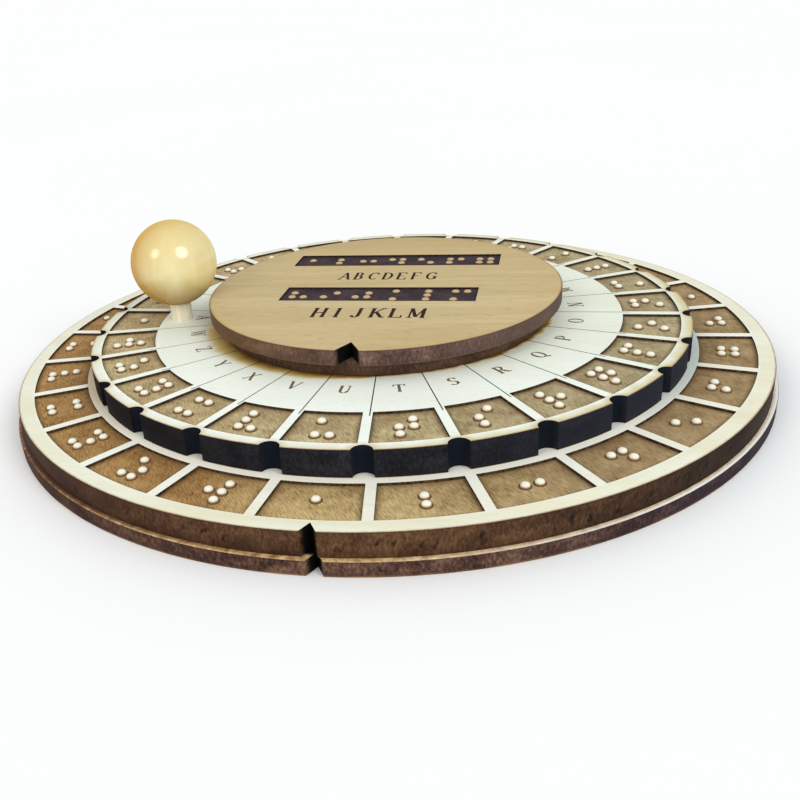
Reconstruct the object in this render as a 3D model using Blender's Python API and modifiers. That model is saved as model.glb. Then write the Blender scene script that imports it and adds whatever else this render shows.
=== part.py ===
"""Braille cipher wheel: two rings of braille cells on stacked wooden discs, one turned by a ball knob.

Metres, +Z up. The origin is the middle of the underside of the base disc, and the index notch of
the outer disc faces -Y. Only the middle disc and its knob turn, about +Z.
"""

from math import cos, pi, radians, sin

import bmesh
import bpy
from mathutils import Matrix

MM = 0.001

# Driving sizes.
CELLS = 26
GLUE_GAP = 0.3 * MM  # between pieces that are glued face to face, and round a glued pin
ROUND_STEPS = 4 * CELLS  # straight sides in one full turn of a large disc
SMALL_STEPS = 2 * CELLS  # and of the hub and what runs against it
PIN_STEPS = 24  # and of a dowel

BASE_RADIUS = 76.9 * MM
BASE_THICKNESS = 2.6 * MM

OUTER_RADIUS = 76.0 * MM
OUTER_THICKNESS = 4.1 * MM
OUTER_CELL_INNER = 62.95 * MM
OUTER_CELL_OUTER = 73.0 * MM
OUTER_DIVIDER = 2.0 * MM

MIDDLE_RADIUS = 61.3 * MM
MIDDLE_THICKNESS = 4.4 * MM
MIDDLE_CELL_INNER = 48.4 * MM
MIDDLE_CELL_OUTER = 59.1 * MM
MIDDLE_DIVIDER = 1.95 * MM
MIDDLE_LIFT = 0.6 * MM  # air between the outer disc and the disc that turns over it
FINGER_NOTCH_RADIUS = 1.8 * MM
FINGER_NOTCH_DEPTH = 1.7 * MM

CELL_DEPTH = 0.6 * MM

HUB_RADIUS = 15.0 * MM
HUB_CLEARANCE = 0.3 * MM
PIVOT_RADIUS = 3.0 * MM
PIVOT_SEAT = 1.3 * MM  # how far the pivot's ends go into the base and into the cap

WASHER_INNER = 15.6 * MM
WASHER_OUTER = 24.0 * MM
WASHER_THICKNESS = 0.2 * MM

SPACER_RADIUS = 33.9 * MM
SPACER_THICKNESS = 2.5 * MM
CAP_RADIUS = 36.5 * MM
CAP_THICKNESS = 2.85 * MM
CAP_RUN_GAP = 0.3 * MM  # air between the turning disc and the fixed spacer

STRIP_DEPTH = 0.4 * MM
FAR_STRIP = (46.1 * MM, 8.1 * MM, 17.3 * MM)  # length, width, and how far behind the centre it lies
NEAR_STRIP = (40.1 * MM, 8.4 * MM, -6.1 * MM)

INDEX_NOTCH_WIDTH = 2.7 * MM
INDEX_NOTCH_DEPTH = 2.4 * MM
CAP_NOTCH_WIDTH = 4.7 * MM
CAP_NOTCH_DEPTH = 4.2 * MM

KNOB_CELL = -6  # which cell's column the knob stands in, counted from the index notch
KNOB_CIRCLE = 44.2 * MM  # distance of the knob from the wheel's axis
STEM_RADIUS = 2.25 * MM
BALL_RADIUS = 9.0 * MM
BALL_CENTRE_RISE = 12.6 * MM  # above the middle disc's top face

# How far each glued piece is turned from the outer disc's index notch.
CELL_TURN = radians(-0.56)
MIDDLE_TURN = radians(-1.69)
CAP_TURN = radians(-1.6)
BASE_TURN = radians(0.6)

# Levels that follow from them.
BASE_TOP = BASE_THICKNESS
OUTER_BOTTOM = BASE_TOP + GLUE_GAP
OUTER_TOP = OUTER_BOTTOM + OUTER_THICKNESS
MIDDLE_BOTTOM = OUTER_TOP + MIDDLE_LIFT
MIDDLE_TOP = MIDDLE_BOTTOM + MIDDLE_THICKNESS
SPACER_BOTTOM = MIDDLE_TOP + CAP_RUN_GAP
SPACER_TOP = SPACER_BOTTOM + SPACER_THICKNESS
CAP_BOTTOM = SPACER_TOP + GLUE_GAP
CAP_TOP = CAP_BOTTOM + CAP_THICKNESS
HUB_BOTTOM = OUTER_TOP + GLUE_GAP
HUB_TOP = SPACER_BOTTOM - GLUE_GAP
BALL_CENTRE = MIDDLE_TOP + BALL_CENTRE_RISE

CELL_PITCH = 2 * pi / CELLS
OVERSHOOT = 2.0 * MM  # how far a cutter runs past the face it cuts


def clear_scene():
    for old in list(bpy.data.objects):
        bpy.data.objects.remove(old, do_unlink=True)


def make_collection(name, shown):
    collection = bpy.data.collections.new(name)
    bpy.context.scene.collection.children.link(collection)
    collection.hide_render = not shown
    return collection


def make_material(name, colour, roughness):
    material = bpy.data.materials.new(name)
    material.use_nodes = True
    shader = material.node_tree.nodes["Principled BSDF"]
    shader.inputs["Base Color"].default_value = (*colour, 1.0)
    shader.inputs["Roughness"].default_value = roughness
    shader.inputs["Metallic"].default_value = 0.0
    material.diffuse_color = (*colour, 1.0)
    return material


def add_object(name, bm, collection, material=None):
    mesh = bpy.data.meshes.new(name)
    bm.to_mesh(mesh)
    bm.free()
    mesh.shade_smooth()
    mesh.set_sharp_from_angle(angle=radians(35))
    obj = bpy.data.objects.new(name, mesh)
    collection.objects.link(obj)
    if material:
        mesh.materials.append(material)
    return obj


def add_cutter(name, bm):
    cutter = add_object(name, bm, CUTTERS)
    cutter.hide_render = True
    cutter.display_type = "WIRE"
    return cutter


def put_cylinder(bm, radius, low, high, x=0.0, y=0.0, steps=ROUND_STEPS):
    """A closed upright cylinder between two levels. With four steps it is a square post."""
    place = Matrix.Translation((x, y, (low + high) / 2))
    bmesh.ops.create_cone(
        bm, cap_ends=True, segments=steps, radius1=radius, radius2=radius, depth=high - low, matrix=place
    )


def put_box(bm, length, width, low, high, place):
    """A closed box, length along X and width along Y, at one placing in the plane."""
    size = Matrix.Diagonal((length, width, high - low, 1.0))
    level = Matrix.Translation((0.0, 0.0, (low + high) / 2))
    bmesh.ops.create_cube(bm, size=1.0, matrix=level @ place @ size)


def cylinder(radius, low, high, **place):
    bm = bmesh.new()
    put_cylinder(bm, radius, low, high, **place)
    return bm


def add_ring(name, inner, outer, low, high, collection, material=None, steps=ROUND_STEPS):
    """A flat ring: its rectangular section, turned once about the axis."""
    bm = bmesh.new()
    section = [(outer, high), (outer, low), (inner, low), (inner, high)]
    corners = [bm.verts.new((x, 0.0, z)) for x, z in section]
    for here, there in zip(corners, corners[1:] + corners[:1]):
        bm.edges.new((here, there))
    ring = add_object(name, bm, collection, material)
    turn = ring.modifiers.new("turn", "SCREW")
    turn.angle = 2 * pi
    turn.steps = steps
    turn.render_steps = steps
    turn.use_merge_vertices = True
    turn.merge_threshold = 0.01 * MM
    turn.use_smooth_shade = False
    return ring


def cut(obj, cutter, label):
    """Takes the cutter's shape out of the object."""
    modifier = obj.modifiers.new(label, "BOOLEAN")
    modifier.operation = "DIFFERENCE"
    modifier.solver = "EXACT"
    modifier.object = cutter


def cell_angle(index):
    """Direction of a cell's middle. Cell 0 faces -Y, and the cells run anticlockwise from above."""
    return -pi / 2 + index * CELL_PITCH


def cell_ring_cutter(name, inner, outer, divider, face):
    """A ring of pockets below one face: a flat ring with a straight bar left standing at each divider."""
    bars = bmesh.new()
    length = (outer - inner) + 2 * OVERSHOOT
    for index in range(CELLS):
        turn = Matrix.Rotation(cell_angle(index + 0.5), 4, "Z")
        out = Matrix.Translation(((inner + outer) / 2, 0.0, 0.0))
        put_box(bars, length, divider, face - 2 * CELL_DEPTH, face + 2 * OVERSHOOT, turn @ out)
    dividers = add_cutter(name + "_dividers", bars)
    pockets = add_ring(name, inner, outer, face - CELL_DEPTH, face + OVERSHOOT, CUTTERS)
    pockets.hide_render = True
    pockets.display_type = "WIRE"
    cut(pockets, dividers, "leave dividers")
    return pockets


def notch_cutter(name, rim, width, depth, low, high):
    """A square post set cornerwise on the rim at -Y, which leaves a V as wide and as deep as asked."""
    bm = cylinder(1.0, low, high, steps=4)
    bm.transform(Matrix.Translation((0.0, -rim, 0.0)) @ Matrix.Diagonal((width / 2, depth, 1.0, 1.0)))
    return add_cutter(name, bm)


def pin_hole_cutter(name, radius, low, high, **place):
    """The hole for a dowel of this radius, wider by the glue gap all round."""
    return add_cutter(name, cylinder(radius + GLUE_GAP, low, high, steps=PIN_STEPS, **place))


def turned_with(obj, *others):
    """Ties cutters to the piece they cut, so that they turn with it."""
    for other in others:
        other.parent = obj


def make_base():
    base = add_object("base_disc", cylinder(BASE_RADIUS, 0.0, BASE_TOP), WHEEL, BACKING_PLY)
    notch = notch_cutter(
        "base_notch_cutter", BASE_RADIUS, INDEX_NOTCH_WIDTH, INDEX_NOTCH_DEPTH, -OVERSHOOT, BASE_TOP + OVERSHOOT
    )
    seat = pin_hole_cutter("base_pivot_seat", PIVOT_RADIUS, BASE_TOP - PIVOT_SEAT, BASE_TOP + OVERSHOOT)
    cut(base, notch, "index notch")
    cut(base, seat, "pivot seat")
    turned_with(base, notch, seat)
    base.rotation_euler.z = BASE_TURN
    return base


def make_outer():
    """The fixed disc. Its cells are turned a little from its notch, as on the real wheel."""
    outer = add_object("outer_disc", cylinder(OUTER_RADIUS, OUTER_BOTTOM, OUTER_TOP), WHEEL, PALE_PLY)
    pockets = cell_ring_cutter(
        "outer_cells_cutter", OUTER_CELL_INNER, OUTER_CELL_OUTER, OUTER_DIVIDER, OUTER_TOP
    )
    pockets.rotation_euler.z = CELL_TURN
    bpy.data.objects["outer_cells_cutter_dividers"].rotation_euler.z = CELL_TURN
    notch = notch_cutter(
        "outer_notch_cutter",
        OUTER_RADIUS,
        INDEX_NOTCH_WIDTH,
        INDEX_NOTCH_DEPTH,
        OUTER_BOTTOM - OVERSHOOT,
        OUTER_TOP + OVERSHOOT,
    )
    hole = pin_hole_cutter("outer_pivot_hole", PIVOT_RADIUS, OUTER_BOTTOM - OVERSHOOT, OUTER_TOP + OVERSHOOT)
    cut(outer, pockets, "cells")
    cut(outer, notch, "index notch")
    cut(outer, hole, "pivot hole")
    return outer


def make_middle():
    """The turning disc, with its origin on the wheel's axis."""
    blank = cylinder(MIDDLE_RADIUS, MIDDLE_BOTTOM, MIDDLE_TOP)
    middle = add_object("middle_disc", blank, WHEEL, PALE_PLY_TURNING)
    low = MIDDLE_BOTTOM - OVERSHOOT
    high = MIDDLE_TOP + OVERSHOOT
    pockets = cell_ring_cutter(
        "middle_cells_cutter", MIDDLE_CELL_INNER, MIDDLE_CELL_OUTER, MIDDLE_DIVIDER, MIDDLE_TOP
    )
    fingers = bmesh.new()
    circle = MIDDLE_RADIUS - FINGER_NOTCH_DEPTH + FINGER_NOTCH_RADIUS
    for index in range(CELLS):
        turn = cell_angle(index + 0.5)
        put_cylinder(
            fingers, FINGER_NOTCH_RADIUS, low, high, x=circle * cos(turn), y=circle * sin(turn), steps=16
        )
    notches = add_cutter("finger_notch_cutter", fingers)
    bore = add_cutter("hub_bore_cutter", cylinder(HUB_RADIUS + HUB_CLEARANCE, low, high, steps=SMALL_STEPS))
    knob_x, knob_y = knob_place()
    socket = pin_hole_cutter("stem_hole_cutter", STEM_RADIUS, low, high, x=knob_x, y=knob_y)
    cut(middle, pockets, "cells")
    cut(middle, notches, "finger notches")
    cut(middle, bore, "hub bore")
    cut(middle, socket, "stem hole")
    turned_with(middle, pockets, bpy.data.objects["middle_cells_cutter_dividers"], notches, bore, socket)
    middle.rotation_euler.z = MIDDLE_TURN
    return middle


def knob_place():
    """Where the knob stands on the middle disc, before the disc is turned."""
    turn = cell_angle(KNOB_CELL)
    return KNOB_CIRCLE * cos(turn), KNOB_CIRCLE * sin(turn)


def make_knob(middle):
    """The dowel stem and the ball, both riding on the middle disc."""
    knob_x, knob_y = knob_place()
    stem_low = MIDDLE_BOTTOM + GLUE_GAP
    stem_top = BALL_CENTRE
    rod = cylinder(STEM_RADIUS, stem_low, stem_top, steps=PIN_STEPS)
    stem = add_object("knob_stem", rod, WHEEL, DOWEL_BIRCH)

    sphere = bmesh.new()
    bmesh.ops.create_uvsphere(
        sphere, u_segments=32, v_segments=20, radius=BALL_RADIUS, matrix=Matrix.Translation((0, 0, BALL_CENTRE))
    )
    ball = add_object("knob_ball", sphere, WHEEL, LACQUERED_WOOD)
    below = BALL_CENTRE - 2 * BALL_RADIUS
    bore = pin_hole_cutter("ball_bore_cutter", STEM_RADIUS, below, stem_top + GLUE_GAP)
    cut(ball, bore, "stem bore")
    turned_with(ball, bore)
    for piece in (stem, ball):
        piece.parent = middle
        piece.location = (knob_x, knob_y, 0.0)
    return stem, ball


def make_pivot():
    """The boss that the middle disc turns on, the pin through it, and the washer under the disc."""
    hole = PIVOT_RADIUS + GLUE_GAP
    hub = add_ring("hub_disc", hole, HUB_RADIUS, HUB_BOTTOM, HUB_TOP, WHEEL, PALE_PLY_HUB, steps=SMALL_STEPS)
    pin_low = BASE_TOP - PIVOT_SEAT + GLUE_GAP
    pin_high = CAP_BOTTOM + PIVOT_SEAT - GLUE_GAP
    rod = cylinder(PIVOT_RADIUS, pin_low, pin_high, steps=PIN_STEPS)
    pin = add_object("pivot_dowel", rod, WHEEL, DOWEL_BIRCH)
    low = OUTER_TOP + (MIDDLE_LIFT - WASHER_THICKNESS) / 2
    high = low + WASHER_THICKNESS
    washer = add_ring(
        "slip_washer", WASHER_INNER, WASHER_OUTER, low, high, WHEEL, WASHER_CARD, steps=SMALL_STEPS
    )
    return hub, pin, washer


def make_cap():
    """The spacer and the cap over it. The cap holds two sunk strips, behind and in front of its middle."""
    spacer = add_ring(
        "cap_spacer", PIVOT_RADIUS + GLUE_GAP, SPACER_RADIUS, SPACER_BOTTOM, SPACER_TOP, WHEEL, DARK_PLY
    )
    cap = add_object("cap_disc", cylinder(CAP_RADIUS, CAP_BOTTOM, CAP_TOP), WHEEL, CHERRY_PLY)
    notch = notch_cutter(
        "cap_notch_cutter",
        CAP_RADIUS,
        CAP_NOTCH_WIDTH,
        CAP_NOTCH_DEPTH,
        CAP_BOTTOM - OVERSHOOT,
        CAP_TOP + OVERSHOOT,
    )
    strips = bmesh.new()
    for length, width, behind in (FAR_STRIP, NEAR_STRIP):
        place = Matrix.Translation((0.0, behind, 0.0))
        put_box(strips, length, width, CAP_TOP - STRIP_DEPTH, CAP_TOP + OVERSHOOT, place)
    sunk = add_cutter("cap_strip_cutter", strips)
    seat = pin_hole_cutter("cap_pivot_seat", PIVOT_RADIUS, CAP_BOTTOM - OVERSHOOT, CAP_BOTTOM + PIVOT_SEAT)
    cut(cap, notch, "index notch")
    cut(cap, sunk, "braille strips")
    cut(cap, seat, "pivot seat")
    turned_with(cap, notch, sunk, seat)
    cap.rotation_euler.z = CAP_TURN
    return spacer, cap


clear_scene()
WHEEL = make_collection("braille_cipher_wheel", True)
CUTTERS = make_collection("cutters", False)

BACKING_PLY = make_material("backing_ply", (0.42, 0.27, 0.14), 0.7)
PALE_PLY = make_material("pale_ply", (0.87, 0.81, 0.66), 0.6)
PALE_PLY_TURNING = make_material("pale_ply_turning", (0.88, 0.83, 0.70), 0.6)
PALE_PLY_HUB = make_material("pale_ply_hub", (0.80, 0.70, 0.50), 0.65)
DARK_PLY = make_material("dark_ply", (0.10, 0.05, 0.04), 0.75)
CHERRY_PLY = make_material("cherry_ply", (0.62, 0.44, 0.23), 0.55)
DOWEL_BIRCH = make_material("dowel_birch", (0.82, 0.72, 0.50), 0.6)
LACQUERED_WOOD = make_material("lacquered_wood", (0.83, 0.66, 0.29), 0.15)
WASHER_CARD = make_material("washer_card", (0.55, 0.50, 0.42), 0.9)

make_base()
make_outer()
make_knob(make_middle())
make_pivot()
make_cap()
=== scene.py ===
from math import asin, cos, hypot, pi, radians, sin, tau

import bmesh
import bpy
from mathutils import Matrix, Vector
from mathutils.geometry import delaunay_2d_cdt


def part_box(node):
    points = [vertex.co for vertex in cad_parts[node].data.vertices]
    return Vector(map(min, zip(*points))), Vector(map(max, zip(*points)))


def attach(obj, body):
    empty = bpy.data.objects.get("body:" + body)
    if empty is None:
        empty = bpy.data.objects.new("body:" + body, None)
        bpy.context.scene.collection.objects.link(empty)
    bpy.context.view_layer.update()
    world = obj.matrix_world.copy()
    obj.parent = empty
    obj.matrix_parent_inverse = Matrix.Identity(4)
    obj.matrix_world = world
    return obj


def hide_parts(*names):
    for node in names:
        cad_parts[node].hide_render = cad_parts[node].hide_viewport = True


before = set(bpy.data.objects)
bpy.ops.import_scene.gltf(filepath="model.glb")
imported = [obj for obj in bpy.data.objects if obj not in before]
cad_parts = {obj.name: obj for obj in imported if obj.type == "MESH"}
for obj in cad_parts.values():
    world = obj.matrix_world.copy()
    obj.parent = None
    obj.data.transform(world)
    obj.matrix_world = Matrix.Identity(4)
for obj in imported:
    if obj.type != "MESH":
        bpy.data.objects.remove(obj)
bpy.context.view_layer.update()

MM = 0.001
FIXED = "fixed_stack"
TURNING = "turning_disc"

# ---------------------------------------------------------------- sizes

CELLS = 26
CELL_PITCH = tau / CELLS
CELL_DEPTH = 0.5 * MM
OUTER_CELL = (62.7 * MM, 73.0 * MM, 1.72 * MM)  # inner radius, outer radius, divider width
MIDDLE_CELL = (48.3 * MM, 59.1 * MM, 1.62 * MM)
FINGER_NOTCH_RADIUS = 1.8 * MM
FINGER_NOTCH_DEPTH = 1.7 * MM

CELL_TURN = radians(-0.56)
MIDDLE_TURN = radians(-1.69)
CAP_TURN = radians(-1.6)
BASE_TURN = radians(0.6)

INDEX_NOTCH = (2.7 * MM, 2.4 * MM)  # width, depth
CAP_NOTCH = (4.7 * MM, 4.2 * MM)
STRIP_DEPTH = 0.4 * MM
FAR_STRIP = (46.1 * MM, 8.1 * MM, 17.3 * MM)  # length, width, how far behind the centre
NEAR_STRIP = (40.1 * MM, 8.4 * MM, -6.1 * MM)

DOT_RADIUS = 0.79 * MM
DOT_HEIGHT = 0.76 * MM  # from the cell's floor, so that a dot stands proud of its board
DOT_PITCH = 2.4 * MM
# The skirt is dark partly as scorch and partly as painted shadow.
DOT_SKIRT = 0.28 * MM  # scorched ring round a dot's foot
LONE_DOT_RISE = 0.8 * MM  # how much nearer the axis than its cell's middle a single dot stands

SCORE_WIDTH = 0.21 * MM
SCORE_DEPTH = 0.13 * MM
SCORE_OFFSET = 0.35 * MM  # how far a score line runs beside the middle of its divider
LETTER_RING = 39.5 * MM
LETTER_SIZE = (3.45 * MM, 3.1 * MM)  # across and up
ENGRAVING_DEPTH = 0.12 * MM
LEGENDS = (  # letters, height, squeeze across, base line, length
    ("ABCDEFG", 4.8 * MM, 0.78, 3.3 * MM, 21.8 * MM),
    ("HIJKLM", 5.2 * MM, 0.92, -19.8 * MM, 23.0 * MM),
)

EDGE_ROUND = 0.14 * MM
SHARP_EDGE = radians(38)  # faces that meet at more than this are shaded with a crease between them
ARC_STEPS = 14  # along one cell's curved side
RIM_STEPS = CELLS * 16
CAP_STEPS = CELLS * 8
BORE_STEPS = CELLS * 2
FINGER_NOTCH_STEPS = 32
DOT_STEPS = 20
BALL_STEPS = 72
BALL_RINGS = 40
DOWEL_STEPS = 40

ALPHABET = "ABCDEFGHIJKLMNOPQRSTUVXYZW"
OUTER_ORDER = [ALPHABET[k] for k in range(CELLS)]
MIDDLE_ORDER = [ALPHABET[(20 - k) % CELLS] for k in range(CELLS)]
BRAILLE = {
    "A": "1", "B": "12", "C": "14", "D": "145", "E": "15", "F": "124", "G": "1245", "H": "125", "I": "24",
    "J": "245", "K": "13", "L": "123", "M": "134", "N": "1345", "O": "135", "P": "1234", "Q": "12345",
    "R": "1235", "S": "234", "T": "2345", "U": "136", "V": "1236", "W": "2456", "X": "1346", "Y": "13456",
    "Z": "1356",
}


def levels(node):
    low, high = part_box(node)
    return low.z, high.z


def radius_of(node):
    low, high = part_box(node)
    return (high.x - low.x) / 2


BASE_LOW, BASE_HIGH = levels("base_disc")
_, OUTER_TOP = levels("outer_disc")
MIDDLE_LOW, MIDDLE_TOP = levels("middle_disc")
CAP_LOW, CAP_TOP = levels("cap_disc")
BASE_RADIUS = radius_of("base_disc")
OUTER_RADIUS = radius_of("outer_disc")
MIDDLE_RADIUS = radius_of("middle_disc")
SPACER_RADIUS = radius_of("cap_spacer")
CAP_RADIUS = radius_of("cap_disc")
HUB_RADIUS = radius_of("hub_disc")
GLUED = 0.02 * MM  # what is left of the frame's glue gap between two boards
OUTER_FOOT = BASE_HIGH + GLUED
RUNNING_GAP = 0.08 * MM  # under the turning disc's rim
SPACER_GAP = 0.05 * MM  # between the turning disc's face and the spacer
FINGER_NOTCH_RING = MIDDLE_RADIUS - FINGER_NOTCH_DEPTH + FINGER_NOTCH_RADIUS


# ---------------------------------------------------------------- mesh helpers

def lathe(bm, profile, steps, x=0.0, y=0.0):
    """Turns a half section of (radius, height) points about an upright axis, on which it starts and ends.

    A flat end becomes one face, and any other end a fan.
    """
    rings = []
    for radius, height in profile:
        turn = [k * tau / steps for k in range(steps)] if radius else []
        rings.append([bm.verts.new((x + radius * cos(a), y + radius * sin(a), height)) for a in turn])
    for here, there in zip(rings[1:], rings[2:-1]):
        for k in range(steps):
            n = (k + 1) % steps
            bm.faces.new((here[k], here[n], there[n], there[k]))
    ends = ((rings[1], profile[0], profile[1]), (rings[-2], profile[-1], profile[-2]))
    for ring, (_, height), (_, beside) in ends:
        if height == beside:
            bm.faces.new(ring)
            continue
        tip = bm.verts.new((x, y, height))
        for k in range(steps):
            bm.faces.new((ring[k], ring[(k + 1) % steps], tip))


def board_profile(radius, low, high, bottom_round=EDGE_ROUND, top_round=EDGE_ROUND):
    """A disc's half section from the axis out, with both rim edges eased."""
    points = [(0.0, low)]
    for k in range(4):
        a = k * pi / 6
        points.append((radius - bottom_round * (1 - sin(a)), low + bottom_round * (1 - cos(a))))
    for k in range(4):
        a = k * pi / 6
        points.append((radius - top_round * (1 - cos(a)), high - top_round * (1 - sin(a))))
    points.append((0.0, high))
    return points


def circle(radius, steps, x=0.0, y=0.0):
    return [(x + radius * cos(a), y + radius * sin(a)) for a in (k * tau / steps for k in range(steps))]


def prism(bm, outline, low, high):
    """A closed upright prism on an anticlockwise outline."""
    bottom = [bm.verts.new((x, y, low)) for x, y in outline]
    top = [bm.verts.new((x, y, high)) for x, y in outline]
    bm.faces.new(list(reversed(bottom)))
    bm.faces.new(top)
    for k in range(len(outline)):
        n = (k + 1) % len(outline)
        bm.faces.new((bottom[k], bottom[n], top[n], top[k]))


def make_object(name, bm, *materials):
    bmesh.ops.recalc_face_normals(bm, faces=bm.faces)
    mesh = bpy.data.meshes.new(name)
    bm.to_mesh(mesh)
    bm.free()
    obj = bpy.data.objects.new(name, mesh)
    bpy.context.scene.collection.objects.link(obj)
    for material in materials:
        mesh.materials.append(material)
    return obj


def carve(obj, bm):
    """Takes a mesh of closed cutters, clear of each other, out of the object for good."""
    cutter = make_object("cutter", bm)
    modifier = obj.modifiers.new("carve", "BOOLEAN")
    modifier.operation = "DIFFERENCE"
    modifier.solver = "EXACT"
    modifier.object = cutter
    bpy.context.view_layer.update()
    graph = bpy.context.evaluated_depsgraph_get()
    carved = bpy.data.meshes.new_from_object(obj.evaluated_get(graph))
    plain = obj.data
    obj.modifiers.clear()
    obj.data = carved
    bpy.data.meshes.remove(plain)
    bpy.data.objects.remove(cutter, do_unlink=True)


def paint(obj, choose):
    """Gives each face the material slot that choose(centre, normal) names, and shades it."""
    mesh = obj.data
    for face in mesh.polygons:
        face.material_index = choose(face.center, face.normal)
    mesh.shade_smooth()
    mesh.set_sharp_from_angle(angle=SHARP_EDGE)
    mesh.update()


def turned(obj, angle):
    """Turns the mesh itself about the wheel's axis, which leaves the object at the origin."""
    obj.data.transform(Matrix.Rotation(angle, 4, "Z"))


def cell_angle(index):
    return -pi / 2 + index * CELL_PITCH


def cell_outline(angle, inner, outer, divider):
    """A cell between two arcs and two dividers of even width."""
    outline = []
    for radius, first, last in ((outer, -1, 1), (inner, 1, -1)):
        reach = CELL_PITCH / 2 - asin(divider / 2 / radius)
        for k in range(ARC_STEPS + 1):
            a = angle + reach * (first + (last - first) * k / ARC_STEPS)
            outline.append((radius * cos(a), radius * sin(a)))
    return outline


def put_cells(bm, sizes, top, turn=0.0):
    inner, outer, divider = sizes
    for index in range(CELLS):
        outline = cell_outline(cell_angle(index) + turn, inner, outer, divider)
        prism(bm, outline, top - CELL_DEPTH, top + CELL_DEPTH)


def put_notch(bm, rim, size, low, high):
    """A V-shaped post at the rim on -Y, as wide and deep as asked."""
    width, depth = size
    over = 2 * MM
    spread = width / 2 * (depth + over) / depth
    outline = [(-spread, -rim - over), (spread, -rim - over), (0.0, -rim + depth)]
    prism(bm, outline, low - over, high + over)


def dot_profile(low, height, skirt):
    """A braille dot, sunk a little into its floor: a soft dome with a thin skirt round its foot, dark as
    scorch and as painted shadow.
    """
    sunk = low - 0.1 * MM
    foot = low + 0.06 * MM
    points = [(0.0, sunk), (DOT_RADIUS + skirt, sunk), (DOT_RADIUS + skirt, low + 0.008 * MM)]
    points.append((DOT_RADIUS + 0.35 * skirt, low + 0.03 * MM))
    for k in range(7):
        a = k * pi / 14
        points.append((DOT_RADIUS * cos(a) ** 0.6, foot + (height - 0.06 * MM) * sin(a)))
    points.append((0.0, low + height))
    return points


def dot_places(letter):
    """Where the dots of a letter's cell stand, about the middle of their own outline."""
    spots = [((int(d) - 1) // 3, -((int(d) - 1) % 3)) for d in BRAILLE[letter]]
    across = [s[0] for s in spots]
    up = [s[1] for s in spots]
    mid_x = (min(across) + max(across)) / 2
    mid_y = (min(up) + max(up)) / 2 - (LONE_DOT_RISE / DOT_PITCH if len(spots) == 1 else 0.0)
    return [((x - mid_x) * DOT_PITCH, (y - mid_y) * DOT_PITCH) for x, y in spots]


def radial_place(angle, radius, across, up):
    """A spot in a letter or cell that is read from outside the wheel, with its top towards the axis."""
    reach = radius - up
    return reach * cos(angle) - across * sin(angle), reach * sin(angle) + across * cos(angle)


def put_ring_dots(bm, sizes, top, order, turn=0.0):
    inner, outer, _ = sizes
    for index, letter in enumerate(order):
        for across, up in dot_places(letter):
            x, y = radial_place(cell_angle(index) + turn, (inner + outer) / 2, across, up)
            lathe(bm, dot_profile(top - CELL_DEPTH, DOT_HEIGHT, DOT_SKIRT), DOT_STEPS, x, y)


# ---------------------------------------------------------------- engraved letters

THICK = 0.15  # stroke widths, with the height of a letter as 1
THIN = 0.075
SERIF = 0.2


def bar(x0, y0, x1, y1, width=THICK):
    """A straight stroke with level ends."""
    if abs(y1 - y0) < 0.01:
        return [(x0, y0 - width / 2), (x1, y0 - width / 2), (x1, y0 + width / 2), (x0, y0 + width / 2)]
    if y0 > y1:
        x0, y0, x1, y1 = x1, y1, x0, y0
    half = width / 2 * hypot(x1 - x0, y1 - y0) / abs(y1 - y0)
    return [(x0 - half, y0), (x0 + half, y0), (x1 + half, y1), (x1 - half, y1)]


def bow(x, y, rx, ry, start, end, thick=THICK, thin=THIN):
    """A curved stroke along an ellipse, thick at its sides and thin at top and bottom."""
    steps = max(6, round(abs(end - start) / 20))
    turns = [radians(start + (end - start) * k / steps) for k in range(steps + 1)]
    outside = [(x + rx * cos(a), y + ry * sin(a)) for a in turns]
    inside = [(x + (rx - thick) * cos(a), y + (ry - thin) * sin(a)) for a in turns]
    return outside + inside[::-1]


def feet(*spots):
    """Serifs at stroke ends."""
    return [bar(x - SERIF / 2, abs(y - THIN / 2), x + SERIF / 2, abs(y - THIN / 2), THIN) for x, y in spots]


def flat(x0, x1, y):
    """A thin level stroke."""
    return bar(x0, y, x1, y, THIN)


def tick(x, y0, y1):
    """A short upright spur at the end of a level stroke."""
    return bar(x, y0, x, y1, THIN)


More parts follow.
